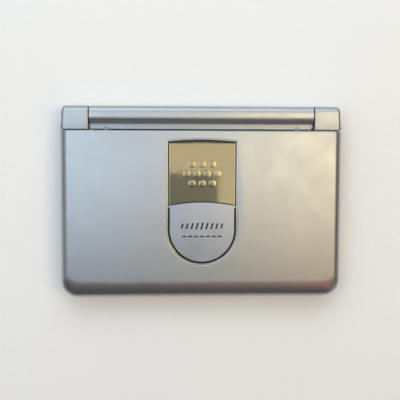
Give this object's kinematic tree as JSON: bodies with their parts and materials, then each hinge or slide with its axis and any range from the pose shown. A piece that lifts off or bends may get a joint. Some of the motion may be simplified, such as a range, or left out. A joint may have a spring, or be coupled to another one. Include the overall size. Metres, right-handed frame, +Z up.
{
  "type": "clamshell electronic dictionary",
  "caption": "Closed clamshell pocket electronic dictionary with a hinged lid, rear hinge barrel, lid badge, keyboard, display and sliding battery cover.",
  "frame": {"origin": "bottom centre of the closed device, on the plane that its feet stand on", "axes": "+X along the hinge, +Y towards the hinge, +Z up out of the lid"},
  "size_m": [0.143, 0.0974, 0.0178],
  "materials": {
    "silver_paint": "fine metallic silver paint on moulded plastic, satin",
    "inner_silver": "plain silver paint, satin",
    "dark_plastic": "moulded charcoal plastic, fine spark texture",
    "key_cap": "moulded pale keys, satin",
    "grey_key": "moulded grey keys, satin",
    "rubber": "matt moulded rubber",
    "steel": "nickel-plated sheet and wire",
    "gold_mirror": "champagne mirror behind clear plastic, polished",
    "badge_silver": "satin silver plating",
    "chrome_trim": "bright plating on moulded plastic",
    "window": "clear polished window over a grey-green display",
    "lcd": "grey-green liquid crystal display",
    "circuit_board": "green solder mask",
    "cell_wrap": "printed steel can, gloss"
  },
  "bodies": {
    "base": {"base_tray": "silver_paint", "base_deck": "inner_silver", "hinge_barrel": "silver_paint", "key_plate": "dark_plastic", "handwriting_pad": "window", "main_board": "circuit_board", "contact_sheet": "rubber", "speaker": "steel", "battery_cell_left": "cell_wrap", "battery_cell_right": "cell_wrap", "battery_spring": "steel", "battery_contact": "steel", "card_socket": "steel", "usb_socket": "steel", "headphone_jack": "dark_plastic", "foot_front_left": "rubber", "foot_front_right": "rubber", "foot_rear_left": "rubber", "foot_rear_right": "rubber", "case_screw_front_left": "steel", "case_screw_front_right": "steel", "case_screw_rear_left": "steel", "case_screw_rear_right": "steel"},
    "lid": {"lid_cover": "silver_paint", "lid_frame": "inner_silver", "knuckle_left": "silver_paint", "knuckle_right": "silver_paint", "hinge_pin_left": "steel", "hinge_pin_right": "steel", "screen_window": "window", "lcd_panel": "lcd", "lcd_backplate": "steel", "lid_bumper_left": "rubber", "lid_bumper_right": "rubber", "badge_trim": "chrome_trim", "badge_window": "gold_mirror", "badge_plate": "badge_silver"},
    "battery_cover": {"battery_cover": "silver_paint"},
    "stylus": {"stylus": "dark_plastic"},
    "card_flap": {"card_flap": "silver_paint"},
    "volume_wheel": {"volume_wheel": "dark_plastic"},
    "sound_switch": {"sound_switch": "dark_plastic"},
    "power_key": {"power_key": "grey_key"},
    "menu_keys_rear": {"menu_keys_rear": "grey_key"},
    "menu_keys_front": {"menu_keys_front": "grey_key"},
    "letter_keys_top": {"letter_keys_top": "key_cap"},
    "letter_keys_middle": {"letter_keys_middle": "key_cap"},
    "letter_keys_bottom": {"letter_keys_bottom": "key_cap"},
    "shift_keys": {"shift_keys": "grey_key"},
    "sound_keys": {"sound_keys": "grey_key"},
    "enter_key": {"enter_key": "key_cap"},
    "back_key": {"back_key": "key_cap"},
    "jump_key": {"jump_key": "key_cap"},
    "page_rocker": {"page_rocker": "grey_key"},
    "cursor_pad": {"cursor_pad": "key_cap"},
    "select_key": {"select_key": "grey_key"}
  },
  "joints": [
    {"name": "lid_hinge", "type": "hinge", "parent": "base", "child": "lid", "pos_m": [0, 0.0444, 0.012], "axis": [-1, 0, 0], "range_deg": [0, 150]},
    {"name": "battery_cover_slide", "type": "slide", "parent": "base", "child": "battery_cover", "axis": [0, 1, 0], "range_m": [0, 0.016]},
    {"name": "stylus_slide", "type": "slide", "parent": "base", "child": "stylus", "axis": [0, 1, 0], "range_m": [0, 0.088]},
    {"name": "card_flap_hinge", "type": "hinge", "parent": "base", "child": "card_flap", "pos_m": [-0.071, 0.008, 0.0036], "axis": [0, -1, 0], "range_deg": [0, 100]},
    {"name": "volume_wheel_turn", "type": "hinge", "parent": "base", "child": "volume_wheel", "pos_m": [0.0664, 0.02, 0.00685], "axis": [0, 0, 1], "range_deg": [-135, 135]},
    {"name": "sound_switch_slide", "type": "slide", "parent": "base", "child": "sound_switch", "axis": [0, 1, 0], "range_m": [0, 0.0024]},
    {"name": "power_key_press", "type": "slide", "parent": "base", "child": "power_key", "axis": [0, 0, -1], "range_m": [0, 0.0006], "stiffness_N_per_m": 400, "springref_m": -0.0003},
    {"name": "enter_key_press", "type": "slide", "parent": "base", "child": "enter_key", "axis": [0, 0, -1], "range_m": [0, 0.0006], "stiffness_N_per_m": 400, "springref_m": -0.0003},
    {"name": "back_key_press", "type": "slide", "parent": "base", "child": "back_key", "axis": [0, 0, -1], "range_m": [0, 0.0006], "stiffness_N_per_m": 400, "springref_m": -0.0003},
    {"name": "jump_key_press", "type": "slide", "parent": "base", "child": "jump_key", "axis": [0, 0, -1], "range_m": [0, 0.0006], "stiffness_N_per_m": 400, "springref_m": -0.0003},
    {"name": "select_key_press", "type": "slide", "parent": "base", "child": "select_key", "axis": [0, 0, -1], "range_m": [0, 0.0006], "stiffness_N_per_m": 400, "springref_m": -0.0003},
    {"name": "cursor_pad_press", "type": "slide", "parent": "base", "child": "cursor_pad", "axis": [0, 0, -1], "range_m": [0, 0.0006], "stiffness_N_per_m": 600, "springref_m": -0.0003},
    {"name": "shift_keys_press", "type": "slide", "parent": "base", "child": "shift_keys", "axis": [0, 0, -1], "range_m": [0, 0.0006], "stiffness_N_per_m": 500, "springref_m": -0.0003},
    {"name": "sound_keys_press", "type": "slide", "parent": "base", "child": "sound_keys", "axis": [0, 0, -1], "range_m": [0, 0.0006], "stiffness_N_per_m": 500, "springref_m": -0.0003},
    {"name": "menu_keys_rear_press", "type": "slide", "parent": "base", "child": "menu_keys_rear", "axis": [0, 0, -1], "range_m": [0, 0.0006], "stiffness_N_per_m": 900, "springref_m": -0.0003},
    {"name": "menu_keys_front_press", "type": "slide", "parent": "base", "child": "menu_keys_front", "axis": [0, 0, -1], "range_m": [0, 0.0006], "stiffness_N_per_m": 900, "springref_m": -0.0003},
    {"name": "letter_keys_top_press", "type": "slide", "parent": "base", "child": "letter_keys_top", "axis": [0, 0, -1], "range_m": [0, 0.0006], "stiffness_N_per_m": 900, "springref_m": -0.0003},
    {"name": "letter_keys_middle_press", "type": "slide", "parent": "base", "child": "letter_keys_middle", "axis": [0, 0, -1], "range_m": [0, 0.0006], "stiffness_N_per_m": 900, "springref_m": -0.0003},
    {"name": "letter_keys_bottom_press", "type": "slide", "parent": "base", "child": "letter_keys_bottom", "axis": [0, 0, -1], "range_m": [0, 0.0006], "stiffness_N_per_m": 900, "springref_m": -0.0003},
    {"name": "page_rocker_tilt", "type": "hinge", "parent": "base", "child": "page_rocker", "pos_m": [0.0495, 0.0102, 0.0086], "axis": [0, 1, 0], "range_deg": [-3, 3], "stiffness_Nm_per_rad": 0.05}
  ]
}
